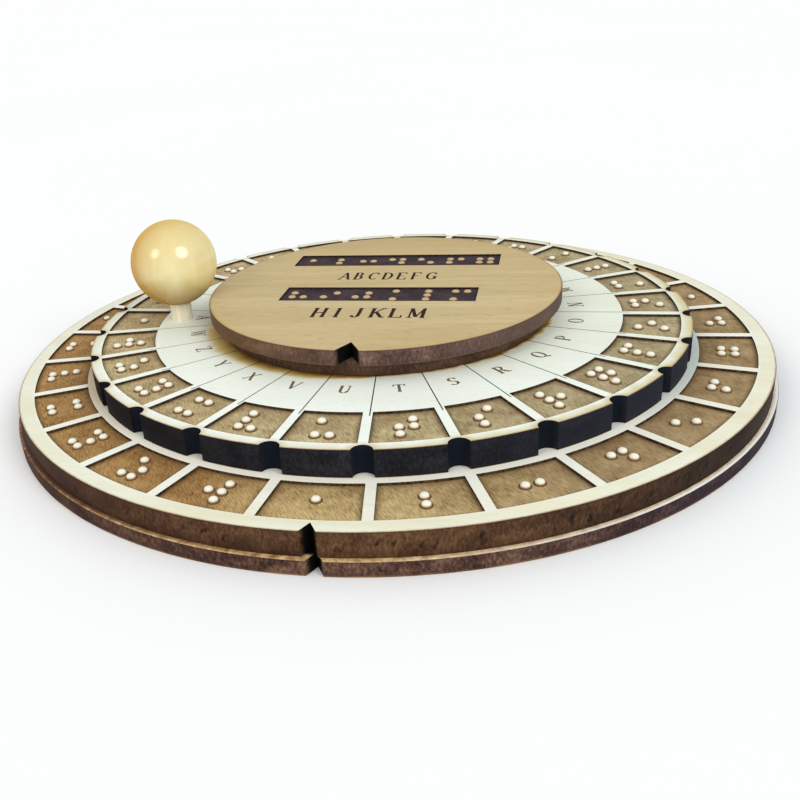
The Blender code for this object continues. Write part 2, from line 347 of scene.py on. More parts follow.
TOP = 1 - THIN / 2
FOOT = THIN / 2
LETTERS = {
    "A": [bar(0.06, 0, 0.33, 1, THIN), bar(0.33, 1, 0.6, 0), flat(0.15, 0.5, 0.35)]
         + feet((0.06, 0), (0.6, 0)),
    "B": [bar(0.14, 0, 0.14, 1), flat(0.03, 0.3, TOP), flat(0.03, 0.3, FOOT), flat(0.14, 0.32, 0.52),
          bow(0.3, 0.75, 0.22, 0.25, -90, 90), bow(0.3, 0.28, 0.27, 0.28, -90, 90)],
    "C": [bow(0.36, 0.5, 0.32, 0.5, 48, 312), tick(0.57, 0.7, 0.98)],
    "D": [bar(0.14, 0, 0.14, 1), flat(0.03, 0.28, TOP), flat(0.03, 0.28, FOOT),
          bow(0.27, 0.5, 0.36, 0.5, -90, 90)],
    "E": [bar(0.14, 0, 0.14, 1), flat(0.03, 0.54, TOP), flat(0.03, 0.56, FOOT), flat(0.14, 0.42, 0.52),
          tick(0.52, 0.78, 1), tick(0.55, 0, 0.24)],
    "F": [bar(0.14, 0, 0.14, 1), flat(0.03, 0.54, TOP), flat(0.14, 0.42, 0.52), tick(0.52, 0.78, 1)]
         + feet((0.14, 0)),
    "G": [bow(0.36, 0.5, 0.32, 0.5, 48, 320), tick(0.57, 0.7, 0.98), bar(0.56, 0.08, 0.56, 0.42),
          flat(0.43, 0.66, 0.42)],
    "H": [bar(0.14, 0, 0.14, 1), bar(0.54, 0, 0.54, 1), flat(0.14, 0.54, 0.5)]
         + feet((0.14, 0), (0.14, 1), (0.54, 0), (0.54, 1)),
    "I": [bar(0.3, 0, 0.3, 1)] + feet((0.3, 0), (0.3, 1)),
    "J": [bar(0.4, 0.22, 0.4, 1), bow(0.27, 0.22, 0.205, 0.22, 180, 360)] + feet((0.4, 1)),
    "K": [bar(0.14, 0, 0.14, 1), bar(0.17, 0.42, 0.55, 1, THIN), bar(0.28, 0.58, 0.58, 0)]
         + feet((0.14, 0), (0.14, 1), (0.56, 1), (0.6, 0)),
    "L": [bar(0.14, 0, 0.14, 1), flat(0.03, 0.56, FOOT), tick(0.55, 0, 0.26)] + feet((0.14, 1)),
    "M": [bar(0.08, 0, 0.08, 1, THIN), bar(0.1, 1, 0.34, 0.08), bar(0.34, 0.08, 0.6, 1, THIN),
          bar(0.6, 0, 0.6, 1)] + feet((0.08, 0), (0.6, 0)),
    "N": [bar(0.1, 0, 0.1, 1, THIN), bar(0.12, 1, 0.55, 0), bar(0.57, 0, 0.57, 1, THIN)]
         + feet((0.1, 0), (0.57, 1)),
    "O": [bow(0.34, 0.5, 0.33, 0.5, 0, 180), bow(0.34, 0.5, 0.33, 0.5, 180, 360)],
    "P": [bar(0.14, 0, 0.14, 1), flat(0.03, 0.3, TOP), flat(0.14, 0.3, 0.47),
          bow(0.3, 0.72, 0.26, 0.285, -90, 90)] + feet((0.14, 0)),
    "Q": [bow(0.34, 0.5, 0.33, 0.5, 0, 180), bow(0.34, 0.5, 0.33, 0.5, 180, 360),
          bar(0.36, 0.12, 0.62, -0.16)],
    "R": [bar(0.14, 0, 0.14, 1), flat(0.03, 0.3, TOP), flat(0.14, 0.3, 0.5),
          bow(0.3, 0.735, 0.25, 0.265, -90, 90), bar(0.3, 0.5, 0.58, 0)] + feet((0.14, 0), (0.62, 0)),
    "S": [bow(0.32, 0.745, 0.24, 0.255, 25, 270), bow(0.32, 0.275, 0.27, 0.275, -155, 90),
          tick(0.52, 0.74, 0.98)],
    "T": [bar(0.33, 0, 0.33, 1), flat(0.02, 0.64, TOP), tick(0.05, 0.76, 1), tick(0.61, 0.76, 1)]
         + feet((0.33, 0)),
    "U": [bar(0.145, 0.3, 0.145, 1), bar(0.55, 0.3, 0.55, 1, THIN), bow(0.33, 0.3, 0.26, 0.3, 180, 360)]
         + feet((0.145, 1), (0.55, 1)),
    "V": [bar(0.08, 1, 0.34, 0), bar(0.34, 0, 0.6, 1, THIN)] + feet((0.08, 1), (0.6, 1)),
    "W": [bar(0.02, 1, 0.2, 0, 0.12), bar(0.2, 0, 0.38, 1, THIN), bar(0.38, 1, 0.56, 0, 0.12),
          bar(0.56, 0, 0.72, 1, THIN)] + feet((0.02, 1), (0.72, 1)),
    "X": [bar(0.1, 1, 0.57, 0), bar(0.09, 0, 0.56, 1, THIN)]
         + feet((0.1, 1), (0.57, 0), (0.09, 0), (0.56, 1)),
    "Y": [bar(0.08, 1, 0.34, 0.42), bar(0.34, 0.42, 0.58, 1, THIN), bar(0.34, 0, 0.34, 0.46)]
         + feet((0.08, 1), (0.58, 1), (0.34, 0)),
    "Z": [flat(0.08, 0.58, TOP), flat(0.07, 0.6, FOOT), bar(0.12, 0.02, 0.54, 0.98), tick(0.1, 0.78, 1),
          tick(0.58, 0, 0.22)],
}
LETTER_MIDDLE = 0.34


def put_letter(bm, letter, place, top):
    """A closed cutter for one letter, its crossing strokes made one shape first.

    place(across, up) gives a spot on the board for a spot in the letter.
    """
    points = []
    strokes = []
    for stroke in LETTERS[letter]:
        strokes.append(list(range(len(points), len(points) + len(stroke))))
        points += [Vector(spot) for spot in stroke]
    spots, _, triangles, _, _, owners = delaunay_2d_cdt(points, [], strokes, 0, 1e-4, True)
    triangles = [triangle for triangle, strokes_here in zip(triangles, owners) if strokes_here]
    layers = []
    for height in (top - ENGRAVING_DEPTH, top + ENGRAVING_DEPTH):
        used = sorted({corner for triangle in triangles for corner in triangle})
        places = {k: place(spots[k].x - LETTER_MIDDLE, spots[k].y - 0.5) for k in used}
        layers.append({k: bm.verts.new((*places[k], height)) for k in used})
    low, high = layers
    sides = {}
    for triangle in triangles:
        bm.faces.new([low[k] for k in reversed(triangle)])
        bm.faces.new([high[k] for k in triangle])
        for a, b in zip(triangle, triangle[1:] + triangle[:1]):
            if (b, a) in sides:
                del sides[b, a]
            else:
                sides[a, b] = True
    for a, b in sides:
        bm.faces.new((low[a], low[b], high[b], high[a]))


# ---------------------------------------------------------------- materials

def srgb(red, green, blue):
    """A display colour as the linear RGBA that nodes take."""
    def linear(value):
        value /= 255
        return value / 12.92 if value <= 0.04045 else ((value + 0.055) / 1.055) ** 2.4
    return linear(red), linear(green), linear(blue), 1.0


class Look:
    """A node material while it is being put together."""

    def __init__(self, name, roughness=0.6, gloss=0.2):
        self.material = bpy.data.materials.new(name)
        self.material.use_nodes = True
        self.tree = self.material.node_tree
        self.shader = self.tree.nodes["Principled BSDF"]
        self.shader.inputs["Roughness"].default_value = roughness
        self.shader.inputs["Specular IOR Level"].default_value = gloss
        self.place = self.add("ShaderNodeTexCoord").outputs["Object"]
        split = self.add("ShaderNodeSeparateXYZ", {"Vector": self.place})
        self.x, self.y, self.z = split.outputs
        self.radius = self.length(self.vector("MULTIPLY", self.place, (1.0, 1.0, 0.0)))

    def add(self, kind, feeds=None, **settings):
        node = self.tree.nodes.new(kind)
        for name, value in settings.items():
            setattr(node, name, value)
        for socket, value in (feeds or {}).items():
            self.feed(node.inputs[socket], value)
        return node

    def feed(self, socket, value):
        if isinstance(value, bpy.types.NodeSocket):
            self.tree.links.new(value, socket)
        else:
            socket.default_value = value

    def give(self, socket, value):
        self.feed(self.shader.inputs[socket], value)

    def vector(self, operation, a, b):
        return self.add("ShaderNodeVectorMath", {0: a, 1: b}, operation=operation).outputs["Vector"]

    def length(self, vector):
        return self.add("ShaderNodeVectorMath", {0: vector}, operation="LENGTH").outputs["Value"]

    def turn(self, vector, angle, axis):
        feeds = {"Vector": vector, "Angle": angle}
        return self.add("ShaderNodeVectorRotate", feeds, rotation_type=axis).outputs["Vector"]

    def math(self, operation, a, b=0.0, clamp=False):
        return self.add("ShaderNodeMath", {0: a, 1: b}, operation=operation, use_clamp=clamp).outputs["Value"]

    def span(self, value, low, high, first=0.0, last=1.0):
        """Maps low..high to first..last, held at both ends."""
        feeds = {"Value": value, "From Min": low, "From Max": high, "To Min": first, "To Max": last}
        return self.add("ShaderNodeMapRange", feeds, clamp=True).outputs["Result"]

    def stretched(self, scale, turn=0.0, source=None):
        """The place with each axis scaled, after a turn about Z."""
        source = source or self.place
        if turn:
            source = self.turn(source, turn, "Z_AXIS")
        return self.vector("MULTIPLY", source, scale)

    def noise(self, vector, scale=1.0, detail=3.0, roughness=0.55, distortion=0.0):
        feeds = {"Vector": vector, "Scale": scale, "Detail": detail}
        feeds.update({"Roughness": roughness, "Distortion": distortion})
        return self.add("ShaderNodeTexNoise", feeds).outputs["Fac"]

    def ramp(self, value, *stops):
        node = self.add("ShaderNodeValToRGB", {"Fac": value})
        elements = node.color_ramp.elements
        while len(elements) < len(stops):
            elements.new(0.5)
        for element, (position, colour) in zip(elements, stops):
            element.position = position
            element.color = colour
        return node.outputs["Color"]

    def mix(self, share, first, second, blend="MIX"):
        node = self.add("ShaderNodeMix", data_type="RGBA", blend_type=blend)
        self.feed(node.inputs["Factor"], share)
        self.feed(node.inputs["A"], first)
        self.feed(node.inputs["B"], second)
        return node.outputs["Result"]

    def bump(self, height, distance, strength=1.0):
        feeds = {"Height": height, "Distance": distance, "Strength": strength}
        self.give("Normal", self.add("ShaderNodeBump", feeds).outputs["Normal"])
        return self


def pale_board(name, rim, clean, warm, halo=False):
    """Clean birch ply: long faint figure, fine pores and a scorched rim.

    With halo, a golden ring round the cap's foot, partly fume staining and partly painted shadow and
    reflected light, and painted shade towards the back. Without it, painted light and shade on the band
    beside the turning disc.
    """
    look = Look(name, 0.55)
    figure = look.noise(look.stretched((14.0, 90.0, 90.0), 0.12), detail=4.0, distortion=0.6)
    fibre = look.noise(look.stretched((120.0, 2200.0, 900.0), 0.12), detail=3.0)
    pores = look.noise(look.stretched((420.0, 5200.0, 900.0), 0.12), detail=1.0)
    warm = srgb(*warm)
    colour = look.mix(look.span(figure, 0.42, 0.7), srgb(*clean), warm)
    colour = look.mix(look.span(fibre, 0.5, 0.75, 0.0, 0.45), colour, warm)
    colour = look.mix(look.span(pores, 0.64, 0.74, 0.0, 0.4), colour, srgb(212, 198, 164))
    if halo:
        # Painted shade: the face darker and warmer towards the back.
        colour = look.mix(look.span(look.y, -38 * MM, -12 * MM), colour, (0.91, 0.905, 0.85, 1.0), "MULTIPLY")
        # Golden ring round the cap's foot, widest towards -X: partly fume staining, partly painted shadow and
        # warm reflected light.
        reach = look.span(look.x, -32 * MM, 2 * MM, 5.2 * MM, 0.9 * MM)
        patchy = look.math("MULTIPLY", look.math("SUBTRACT", look.noise(look.place, 160.0), 0.5), 3 * MM)
        away = look.math("SUBTRACT", look.math("ADD", look.radius, patchy), SPACER_RADIUS)
        smoke_and_shadow = look.math("SUBTRACT", 1.0, look.math("DIVIDE", away, reach), clamp=True)
        smoke_and_shadow = look.math("POWER", smoke_and_shadow, 1.5)
        stain_and_shadow = look.ramp(
            smoke_and_shadow, (0.0, srgb(236, 226, 190)), (0.45, srgb(214, 186, 112)), (1.0, srgb(150, 110, 44))
        )
        colour = look.mix(look.span(smoke_and_shadow, 0.0, 0.3), colour, stain_and_shadow)
        toast = look.math("ADD", look.radius, look.math("MULTIPLY", look.noise(look.place, 260.0), 2 * MM))
        toast = look.span(toast, rim - 1.2 * MM, rim + 0.8 * MM)
        toast = look.math("MULTIPLY", toast, look.span(look.x, -30 * MM, 50 * MM, 0.4, 0.85))
        colour = look.mix(toast, colour, srgb(208, 190, 126))
        ahead = look.math("SUBTRACT", look.radius, FINGER_NOTCH_RING)
        spot = look.add("ShaderNodeCombineXYZ", {"X": beside_divider(look, MIDDLE_TURN), "Y": ahead})
        away = look.length(spot.outputs["Vector"])
        singe = look.span(away, FINGER_NOTCH_RADIUS + 1.3 * MM, FINGER_NOTCH_RADIUS, 0.0, 0.5)
        colour = look.mix(singe, colour, srgb(204, 174, 112))
    else:
        # Painted light and shade: the band beside the turning disc is made bright against its shadow, cooler
        # towards +X and darker and browner towards -X.
        across = look.span(look.x, -OUTER_RADIUS, OUTER_RADIUS)
        strip_light_and_shade = look.ramp(
            across, (0.1, srgb(216, 190, 156)), (0.24, srgb(255, 251, 234)), (0.81, srgb(255, 254, 240)),
            (0.9, srgb(211, 222, 215)),
        )
        inner, outer, _ = OUTER_CELL
        colour = look.mix(look.span(look.radius, inner + 0.7 * MM, inner - 0.1 * MM), colour, strip_light_and_shade)
        tinge = look.span(look.radius, outer - 0.2 * MM, outer + 0.6 * MM)
        colour = look.mix(tinge, colour, (0.92, 0.915, 0.83, 1.0), "MULTIPLY")
    wander = look.math("MULTIPLY", look.noise(look.place, 900.0), 0.25 * MM)
    scorch = look.span(look.math("ADD", look.radius, wander), rim - 0.3 * MM, rim + 0.15 * MM)
    colour = look.mix(scorch, colour, srgb(150, 112, 70))
    look.give("Base Color", colour)
    look.give("Roughness", look.span(fibre, 0.3, 0.7, 0.5, 0.66))
    return look.bump(fibre, 0.02 * MM, 0.5).material


SPECK_LEAN = -0.5
# Near-black tone of the notches' walls: char, deepened as painted shade.
NOTCH_CHAR_AND_SHADE = (12, 9, 9)
BACK_PLY = ((205, 180, 136), (178, 148, 104))  # light and dark figure of a board seen from below


def burnt_edge(name, tones, low, high, size, inside=None, specks=False, left=None, right=None, hem=None):
    """A laser-cut edge: charred and mottled, with dark core gaps and a patchy lighter hem at its foot.

    size is the board's radius, and inside the tone of its notches' walls: char, with painted shade where it
    is near black.
    left and right are painted light and shade: the tones that it drifts to towards -X and +X, where the
    sides are lit differently.
    """
    look = Look(name, 0.7, 0.07)
    dark, mid, light = (srgb(*tone) for tone in tones)
    streak = look.noise(look.stretched((2300.0, 2300.0, 1300.0), 0.4), detail=2.0, roughness=0.6)
    blotch = look.noise(look.stretched((150.0, 150.0, 260.0)), detail=4.0, distortion=0.4)
    tone = look.math("ADD", look.math("MULTIPLY", streak, 0.5), look.math("MULTIPLY", blotch, 0.5))
    colour = look.ramp(tone, (0.36, dark), (0.5, mid), (0.64, light))
    rise = look.span(look.z, low, high)
    colour = look.mix(look.span(rise, 0.9, 1.0, 0.0, 0.3), colour, dark)
    colour = look.mix(look.span(rise, 0.35, 0.0, 0.0, 0.35), colour, dark)
    if specks:
        leaning = look.turn(look.place, SPECK_LEAN, "Y_AXIS")
        gap = look.noise(look.stretched((1000.0, 1000.0, 420.0), source=leaning), detail=2.0)
        core = look.math("MULTIPLY", look.span(rise, 0.12, 0.3), look.span(rise, 0.8, 0.6))
        gap = look.math("MULTIPLY", look.span(gap, 0.56, 0.66, 0.0, 0.85), core)
        colour = look.mix(gap, colour, srgb(28, 19, 17))
    # Painted light and shade: the edge drifts to other tones towards -X and +X.
    if left:
        colour = look.mix(look.span(look.x, -0.05 * size, -0.65 * size, 0.0, 0.65), colour, srgb(*left))
    if right:
        colour = look.mix(look.span(look.x, 0.3 * size, 0.76 * size, 0.0, 0.7), colour, srgb(*right))
    if hem:
        patch = look.math("MULTIPLY", look.span(blotch, 0.4, 0.6, 0.2, 0.8), look.span(rise, 0.17, 0.04))
        colour = look.mix(patch, colour, srgb(*hem))
    # The notches' walls: char, with painted shade where the tone is near black.
    if inside:
        colour = look.mix(look.span(look.radius, size - 0.2 * MM, size - 1.0 * MM), colour, srgb(*inside))
    look.give("Base Color", colour)
    look.give("Roughness", look.span(streak, 0.3, 0.7, 0.55, 0.8))
    return look.bump(tone, 0.06 * MM, 0.8).material


def beside_divider(look, turn):
    """How far along its arc a spot is from the nearest divider's middle line."""
    bearing = look.math("ARCTAN2", look.y, look.x)
    share = look.math("DIVIDE", look.math("SUBTRACT", bearing, turn + cell_angle(0.5)), CELL_PITCH)
    share = look.math("FRACT", look.math("ADD", share, CELLS))
    share = look.math("MINIMUM", share, look.math("SUBTRACT", 1.0, share))
    return look.math("MULTIPLY", look.math("MULTIPLY", share, CELL_PITCH), look.radius)


def near_cell_walls(look, sizes, turn):
    """How near a spot on a cell's floor is to the cell's walls, from 0 in the open to 1 at a wall."""
    inner, outer, divider = sizes
    beside = look.math("SUBTRACT", beside_divider(look, turn), divider / 2)
    outwards = look.math("SUBTRACT", look.radius, inner)
    inwards = look.math("SUBTRACT", outer, look.radius)
    ends = look.math("MINIMUM", outwards, inwards)
    return look.span(look.math("MINIMUM", beside, ends), 1.3 * MM, 0.0)


RASTER_GRAIN = 4600.0  # noise cells in a metre, across the laser's lines
RASTER_PITCH = 0.36 * MM


def raster_floor(name, dark, mid, light, cells=None, turn=0.0, sides=None, lines=-57.0):
    """The floor of an engraved field: brown, raked by the laser's raster lines, and darker by its walls,
    partly burnt and partly painted shade.

    sides holds the tints towards -X and +X, painted shade that is warmer at -X and cooler at +X, and lines is
    the raster lines' direction in degrees.
    """
    look = Look(name, 0.75, 0.1)
    mottle = look.noise(look.place, 230.0, detail=4.0)
    raked = look.stretched((RASTER_GRAIN, 620.0, 1.0), -radians(90 + lines))
    hatch = look.noise(raked, detail=2.0, roughness=0.6, distortion=0.3)
    across = look.add("ShaderNodeSeparateXYZ", {"Vector": raked}).outputs["X"]
    drift = look.math("MULTIPLY", look.noise(look.place, 500.0, detail=1.0), 5.0)
    phase = look.math("MULTIPLY", across, tau / (RASTER_GRAIN * RASTER_PITCH))
    line = look.math("SINE", look.math("ADD", phase, drift))
    tone = look.math("ADD", look.math("MULTIPLY", hatch, 0.58), look.math("MULTIPLY", mottle, 0.42))
    tone = look.math("ADD", tone, look.math("MULTIPLY", line, 0.032))
    colour = look.ramp(tone, (0.32, srgb(*dark)), (0.5, srgb(*mid)), (0.68, srgb(*light)))
    if cells:
        inner, outer, _ = cells
        colour = look.mix(look.span(look.radius, outer, inner, 0.0, 0.3), colour, srgb(128, 92, 54))
        # Painted shade: darker and warmer towards -X, darker and cooler towards +X.
        for (first, last), tint in zip(((-2 * MM, -20 * MM), (6 * MM, 42 * MM)), sides):
            colour = look.mix(look.span(look.x, first, last), colour, (*tint, 1.0), "MULTIPLY")
        # Darker by the cell walls: partly laser scorch, partly painted shade.
        burn_and_shade = look.math("MULTIPLY", look.math("POWER", near_cell_walls(look, cells, turn), 1.5), 0.6)
        colour = look.mix(burn_and_shade, colour, srgb(84, 58, 34))
    look.give("Base Color", colour)
    relief = look.math("ADD", hatch, look.math("MULTIPLY", line, 0.12))
    return look.bump(relief, 0.07 * MM, 0.8).material


def braille_wood(name, floor, height, crown=(247, 244, 227), foot=(112, 82, 50)):
    """A raised dot: clean wood on top, darker towards its foot, partly burnt and partly painted shadow."""
    look = Look(name, 0.5)
    rise = look.math("SUBTRACT", look.z, floor)
    wander = look.math("MULTIPLY", look.noise(look.place, 1400.0), 0.12 * MM)
    share = look.span(look.math("SUBTRACT", rise, wander), 0.0, 0.6 * height)
    # The dark foot is partly scorch, partly painted shadow.
    colour = look.ramp(share, (0.0, srgb(*foot)), (0.42, srgb(198, 174, 132)), (0.8, srgb(*crown)))
    look.give("Base Color", colour)
    fibre = look.noise(look.stretched((300.0, 3000.0, 900.0)), detail=2.0)
    return look.bump(fibre, 0.02 * MM, 0.4).material


def charred(name, dark, light, engraved=None):
    """The walls of cuts, score lines and engraved letters.

    Letters and score lines within the radius engraved pale towards -X, and the letters are lighter all round.
    """
    look = Look(name, 0.85, 0.1)
    soot = look.noise(look.stretched((1800.0, 1800.0, 500.0)), detail=3.0)
    colour = look.ramp(soot, (0.35, srgb(*dark)), (0.68, srgb(*light)))
    if engraved:
        within = look.span(look.radius, engraved, engraved - 0.4 * MM)
        letter = look.span(beside_divider(look, MIDDLE_TURN), 0.8 * MM, 1.2 * MM, 0.0, 0.5)
        pale = look.math("MAXIMUM", letter, look.span(look.x, -6 * MM, -36 * MM, 0.0, 0.6))
        colour = look.mix(look.math("MULTIPLY", within, pale), colour, srgb(158, 136, 104))
    look.give("Base Color", colour)
    return look.bump(soot, 0.03 * MM, 0.7).material


def base_ledge():
    """The narrow step of the base board: golden, coppery and darker towards -X as painted shade, darker along
    the outer board's foot as scorch and painted shade, near white at its lip towards +X as painted light,
    and black under the outer board as painted shade.
    """
    look = Look("base_ledge_wood", 0.6)
    streak = look.noise(look.stretched((700.0, 700.0, 1.0)), detail=3.0)
    golden = look.ramp(
        streak, (0.32, srgb(160, 116, 74)), (0.5, srgb(216, 180, 124)), (0.68, srgb(248, 224, 176))
    )
    copper = look.ramp(
        streak, (0.4, srgb(104, 66, 46)), (0.55, srgb(146, 100, 66)), (0.7, srgb(206, 152, 98))
    )
    # Painted shade: coppery and darker towards -X.
    colour = look.mix(look.span(look.x, -14 * MM, -52 * MM, 0.0, 0.95), golden, copper)
    # Darker along the outer board's foot, most towards -X: partly scorch, partly painted shade.
    inward = look.span(look.radius, BASE_RADIUS - 0.3 * MM, BASE_RADIUS - 0.6 * MM)
    scorched = look.math("MULTIPLY", inward, look.span(look.x, 0.0, -48 * MM, 0.25, 1.0))
    colour = look.mix(scorched, colour, srgb(84, 56, 40))
    # Painted light: near white at the lip towards +X.
    outward = look.span(look.radius, OUTER_RADIUS + 0.15 * MM, OUTER_RADIUS + 0.5 * MM, 0.35, 1.0)
    clean = look.math("MULTIPLY", outward, look.span(look.x, 10 * MM, 54 * MM))
    colour = look.mix(clean, colour, srgb(255, 253, 242))
    # Painted shade: black where the outer board covers the step.
    covered = look.span(look.radius, OUTER_RADIUS - 0.4 * MM, OUTER_RADIUS - 1.0 * MM)
    colour = look.mix(covered, colour, srgb(14, 10, 9))
    look.give("Base Color", colour)
    return look.bump(streak, 0.03 * MM, 0.5).material


def cherry_board():
    """The cap's face: tan, with long grain along the strips and short dark pores."""
    look = Look("cap_face_wood", 0.5, 0.25)
    figure = look.noise(look.stretched((9.0, 130.0, 90.0), -0.03), detail=5.0, distortion=0.9)
    fibre = look.noise(look.stretched((90.0, 2400.0, 900.0), -0.03), detail=3.0)
    pores = look.noise(look.stretched((330.0, 4200.0, 900.0), -0.03), detail=1.0)
    colour = look.ramp(
        figure, (0.3, srgb(192, 168, 118)), (0.5, srgb(202, 181, 132)), (0.68, srgb(210, 191, 143))
    )
    colour = look.mix(look.span(fibre, 0.45, 0.75, 0.0, 0.5), colour, srgb(184, 158, 112))
    colour = look.mix(look.span(pores, 0.62, 0.72, 0.0, 0.6), colour, srgb(156, 124, 84))
    near_rim = look.span(look.radius, CAP_RADIUS - 9 * MM, CAP_RADIUS)
    warm = look.math("MULTIPLY", near_rim, look.span(look.x, 0.0, 30 * MM))
    colour = look.mix(look.math("MULTIPLY", warm, 0.2), colour, srgb(205, 160, 100))
    colour = look.mix(look.span(look.y, 0.0, CAP_RADIUS, 0.0, 0.7), colour, srgb(188, 160, 98))
    scorch = look.span(look.radius, CAP_RADIUS - 0.5 * MM, CAP_RADIUS)
    colour = look.mix(scorch, colour, srgb(140, 100, 70))
    look.give("Base Color", colour)
    look.give("Roughness", look.span(fibre, 0.3, 0.7, 0.42, 0.6))
    return look.bump(fibre, 0.03 * MM, 0.6).material


def lacquered_ball(ball_middle):
    """A turned wooden ball under thick clear lacquer, with painted reflection and shade: deeper golden where
    it is seen edge on, most towards -X, more golden over the top and darker and browner underneath.
    """
    look = Look("ball_lacquer", 0.5, 0.0)
    facing = look.add("ShaderNodeLayerWeight", {"Blend": 0.4}).outputs["Facing"]
    grain = look.noise(look.stretched((260.0, 260.0, 30.0)), detail=4.0, distortion=0.5)
    body = look.ramp(grain, (0.3, srgb(234, 217, 152)), (0.7, srgb(244, 231, 176)))
    # Painted reflection and shade: golden where the ball is seen edge on, most towards -X.
    depth = look.math("MULTIPLY", look.span(facing, 0.03, 0.5), look.span(look.x, -6 * MM, 7 * MM, 1.0, 0.08))
    colour = look.mix(depth, body, srgb(206, 156, 58))
    # Painted reflection: more golden over the top.
    over = look.span(look.z, ball_middle, ball_middle + 9 * MM, 0.0, 0.45)
    colour = look.mix(over, colour, srgb(216, 180, 88))
    # Painted shade: darker and browner underneath.
    under = look.span(look.z, ball_middle - 1 * MM, ball_middle - 9 * MM, 0.0, 0.9)
    colour = look.mix(under, colour, srgb(158, 111, 28))
    look.give("Base Color", colour)
    look.give("Coat Weight", look.span(facing, 0.3, 0.8, 1.0, 0.0))
    look.give("Coat IOR", 1.8)
    look.give("Coat Roughness", 0.17)
    look.give("Subsurface Weight", 0.15)
    look.give("Subsurface Radius", (3 * MM, 1.8 * MM, 0.8 * MM))
    look.give("Subsurface Scale", 1.0)
    return look.bump(grain, 0.01 * MM, 0.2).material


# The default tones are pale as painted light, against the ball's shadow on the knob's stem.
def dowel_wood(name, light=(254, 249, 230), dark=(240, 228, 196)):
    """A birch dowel with its grain along its length."""
    look = Look(name, 0.55)
    fibre = look.noise(look.stretched((2200.0, 2200.0, 60.0)), detail=3.0)
    look.give("Base Color", look.ramp(fibre, (0.35, srgb(*dark)), (0.65, srgb(*light))))
    return look.bump(fibre, 0.03 * MM, 0.6).material


def plain_ply(name, light, dark):
    """Unfinished board that is hidden or seen from below."""
    look = Look(name, 0.7)
    figure = look.noise(look.stretched((20.0, 260.0, 200.0), 0.12), detail=5.0, distortion=0.7)
    look.give("Base Color", look.ramp(figure, (0.35, srgb(*dark)), (0.65, srgb(*light))))
    return look.bump(figure, 0.03 * MM, 0.5).material


def washer_card():
    look = Look("washer_card_fibre", 0.9)
    pulp = look.noise(look.place, 1600.0, detail=4.0)
    look.give("Base Color", look.ramp(pulp, (0.35, srgb(150, 138, 116)), (0.65, srgb(190, 178, 154))))
    return look.bump(pulp, 0.02 * MM, 0.6).material


# ---------------------------------------------------------------- pieces

def finish_piece(obj, body, node):
    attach(obj, body)
    if node:
        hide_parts(node)


def build_base():
    bm = bmesh.new()
    lathe(bm, board_profile(BASE_RADIUS, BASE_LOW, BASE_HIGH), RIM_STEPS)
    edge = burnt_edge(
        "base_edge_char", ((46, 30, 27), (90, 64, 54), (134, 102, 82)), BASE_LOW, BASE_HIGH, BASE_RADIUS,
        # left and right: painted shade, warm towards -X and with a bluish reflection towards +X.
        inside=NOTCH_CHAR_AND_SHADE, left=(46, 25, 16), right=(18, 23, 42), hem=(158, 122, 84)
    )
    underside = plain_ply("base_underside_wood", *BACK_PLY)
    base = make_object("base_board", bm, base_ledge(), edge, underside)
    notch = bmesh.new()
    put_notch(notch, BASE_RADIUS, INDEX_NOTCH, BASE_LOW, BASE_HIGH)
    carve(base, notch)
    paint(base, lambda at, normal: 0 if normal.z > 0.8 else 2 if normal.z < -0.8 else 1)
    turned(base, BASE_TURN)
    finish_piece(base, FIXED, "base_disc")


def board_slot(top, floor, band):
    """Chooses between face 0, edge 1, floor 2, char 3 and underside 4 for a carved board."""
    def choose(at, normal):
        if normal.z > 0.7:
            if at.z > top - 0.03 * MM:
                return 0
            return 2 if at.z < floor + 0.05 * MM else 3
        if normal.z < -0.7:
            return 4
        inside = hypot(at.x, at.y) < band
        return 3 if inside and at.z > floor - 0.01 * MM else 1
    return choose


def build_outer():
    bm = bmesh.new()
    lathe(bm, board_profile(OUTER_RADIUS, OUTER_FOOT, OUTER_TOP), RIM_STEPS)
    outer = make_object(
        "outer_board",
        bm,
        pale_board("outer_face_wood", OUTER_RADIUS, (248, 249, 238), (240, 236, 213)),
        burnt_edge(
            "outer_edge_char", ((56, 37, 27), (84, 57, 39), (112, 82, 55)), OUTER_FOOT, OUTER_TOP,
            # left and right: painted shade towards -X and deeper painted shade towards +X.
            OUTER_RADIUS, inside=NOTCH_CHAR_AND_SHADE, specks=True, left=(50, 30, 22), right=(18, 18, 17)
        ),
        raster_floor(
            "outer_cell_floor", (132, 104, 64), (199, 173, 120), (238, 214, 160), OUTER_CELL, CELL_TURN,
            # Painted shade tints towards -X and +X.
            ((0.7, 0.55, 0.43), (0.66, 0.63, 0.67)),
        ),
        charred("outer_cut_char", (48, 34, 22), (104, 76, 48)),
        plain_ply("outer_back_wood", *BACK_PLY),
    )
    cuts = bmesh.new()
    put_cells(cuts, OUTER_CELL, OUTER_TOP, CELL_TURN)
    put_notch(cuts, OUTER_RADIUS, INDEX_NOTCH, OUTER_FOOT, OUTER_TOP)
    carve(outer, cuts)
    paint(outer, board_slot(OUTER_TOP, OUTER_TOP - CELL_DEPTH, OUTER_CELL[1] + 0.5 * MM))
    finish_piece(outer, FIXED, "outer_disc")

    dots = bmesh.new()
    put_ring_dots(dots, OUTER_CELL, OUTER_TOP, OUTER_ORDER, CELL_TURN)
    wood = braille_wood("outer_dot_wood", OUTER_TOP - CELL_DEPTH, DOT_HEIGHT)
    dots = make_object("outer_braille", dots, wood)
    paint(dots, lambda at, normal: 0)
    finish_piece(dots, FIXED, None)


